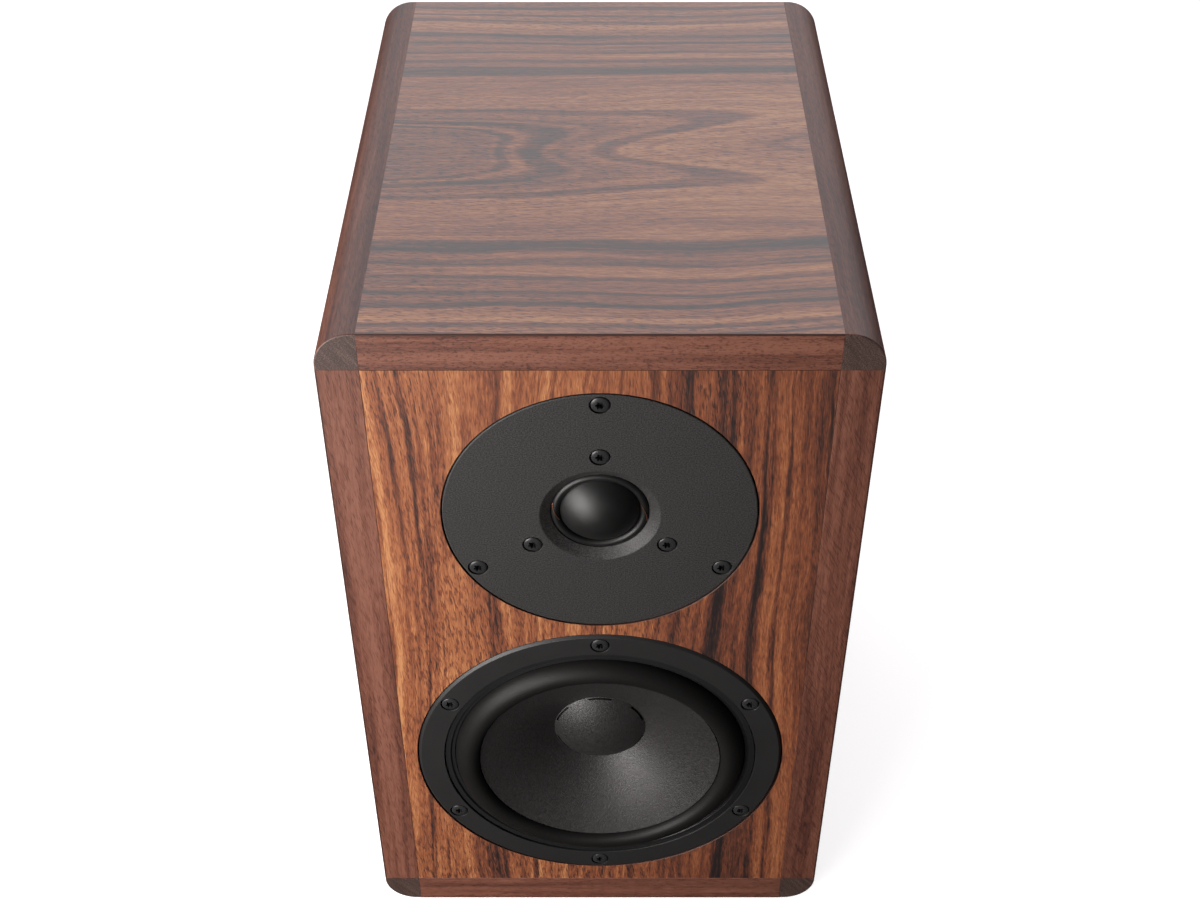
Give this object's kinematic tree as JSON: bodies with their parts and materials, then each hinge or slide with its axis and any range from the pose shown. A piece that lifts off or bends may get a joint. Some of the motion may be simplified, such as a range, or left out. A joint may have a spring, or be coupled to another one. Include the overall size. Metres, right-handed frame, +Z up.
{
  "type": "bookshelf speaker",
  "caption": "Two-way bookshelf loudspeaker with a veneered, round-edged wooden cabinet, soft-dome tweeter, cone woofer, rear port and binding posts.",
  "frame": {"origin": "centre of the cabinet's flat underside", "axes": "+Z up, the front baffle and drivers face -Y, the port and binding posts face +Y, +X is to the right seen from the front"},
  "size_m": [0.185, 0.2615, 0.309],
  "materials": {
    "veneer": "satin lacquered rosewood veneer",
    "solid_wood": "satin lacquered reddish hardwood",
    "plate_black": "fine textured matte black",
    "frame_black": "satin black cast frame",
    "clamp_black": "satin black moulded ring",
    "surround_rubber": "smooth dull rubber",
    "cone_black": "satin speckled polymer",
    "dome_fabric": "coated silk",
    "screw_black": "black oxide",
    "port_plastic": "fine spark texture",
    "steel": "zinc plated",
    "magnet_ferrite": "sintered ferrite",
    "copper": "enamelled copper wire",
    "gold_plate": "gold plated",
    "black_plastic": "moulded black",
    "red_plastic": "moulded red",
    "foam": "closed cell foam and wadding",
    "spider_cloth": "impregnated cloth",
    "former_film": "amber film",
    "circuit_board": "solder mask",
    "cable_sleeve": "flexible insulation",
    "capacitor_film": "wrapped film",
    "resistor_ceramic": "ceramic"
  },
  "bodies": {
    "cabinet": {"front_baffle": "veneer", "rear_panel": "veneer", "top_panel": "veneer", "bottom_panel": "veneer", "left_panel": "veneer", "right_panel": "veneer", "edge_rail_top_left": "solid_wood", "edge_rail_top_right": "solid_wood", "edge_rail_bottom_left": "solid_wood", "edge_rail_bottom_right": "solid_wood", "front_strip_top": "solid_wood", "front_strip_bottom": "solid_wood", "front_strip_left": "solid_wood", "front_strip_right": "solid_wood", "damping_pads": "foam", "port_tube": "port_plastic", "tweeter_faceplate": "plate_black", "tweeter_gasket": "foam", "tweeter_surround": "dome_fabric", "tweeter_front_plate": "steel", "tweeter_magnet": "magnet_ferrite", "tweeter_yoke": "steel", "tweeter_felt": "foam", "tweeter_rear_chamber": "black_plastic", "tweeter_terminals": "gold_plate", "tweeter_mounting_screws": "screw_black", "tweeter_assembly_screws": "screw_black", "tweeter_lead_wires": "copper", "woofer_basket": "frame_black", "woofer_gasket": "foam", "woofer_clamp_ring": "clamp_black", "woofer_surround": "surround_rubber", "woofer_spider": "spider_cloth", "woofer_front_plate": "steel", "woofer_magnet": "magnet_ferrite", "woofer_yoke": "steel", "woofer_screws": "screw_black", "woofer_terminals": "gold_plate", "woofer_tinsel_leads": "copper", "crossover_board": "circuit_board", "crossover_spacers": "black_plastic", "crossover_screws": "steel", "crossover_inductors": "copper", "crossover_capacitors": "capacitor_film", "crossover_resistors": "resistor_ceramic", "internal_cables": "cable_sleeve", "terminal_plate": "plate_black", "terminal_screws": "screw_black", "terminal_studs": "gold_plate", "terminal_insulators": "black_plastic", "terminal_nuts": "gold_plate"},
    "woofer_moving": {"woofer_cone": "cone_black", "woofer_coil_former": "former_film", "woofer_voice_coil": "copper"},
    "tweeter_moving": {"tweeter_dome": "dome_fabric", "tweeter_voice_coil": "copper"},
    "positive_clamp": {"positive_washer": "gold_plate"},
    "negative_clamp": {"negative_washer": "gold_plate"},
    "positive_grip": {"positive_knob": "red_plastic"},
    "negative_grip": {"negative_knob": "black_plastic"}
  },
  "joints": [
    {"name": "woofer_stroke", "type": "slide", "parent": "cabinet", "child": "woofer_moving", "axis": [0, -1, 0], "range_m": [-0.005, 0.005], "stiffness_N_per_m": 1000, "deforming": ["woofer_surround", "woofer_spider", "woofer_tinsel_leads"]},
    {"name": "tweeter_stroke", "type": "slide", "parent": "cabinet", "child": "tweeter_moving", "axis": [0, -1, 0], "range_m": [-0.0003, 0.0003], "stiffness_N_per_m": 2500, "deforming": ["tweeter_surround", "tweeter_lead_wires"]},
    {"name": "positive_clamp_travel", "type": "slide", "parent": "cabinet", "child": "positive_clamp", "axis": [0, 1, 0], "range_m": [0, 0.004]},
    {"name": "positive_knob_turn", "type": "hinge", "parent": "positive_clamp", "child": "positive_grip", "pos_m": [-0.00953, 0.1205, 0.075], "axis": [0, 1, 0], "range_deg": [0, 1440]},
    {"name": "negative_clamp_travel", "type": "slide", "parent": "cabinet", "child": "negative_clamp", "axis": [0, 1, 0], "range_m": [0, 0.004]},
    {"name": "negative_knob_turn", "type": "hinge", "parent": "negative_clamp", "child": "negative_grip", "pos_m": [0.00953, 0.1205, 0.075], "axis": [0, 1, 0], "range_deg": [0, 1440]}
  ],
  "couplings": [
    {"joint": "positive_clamp_travel", "follows": "positive_knob_turn", "m_per_rad": 0.000159},
    {"joint": "negative_clamp_travel", "follows": "negative_knob_turn", "m_per_rad": 0.000159}
  ]
}
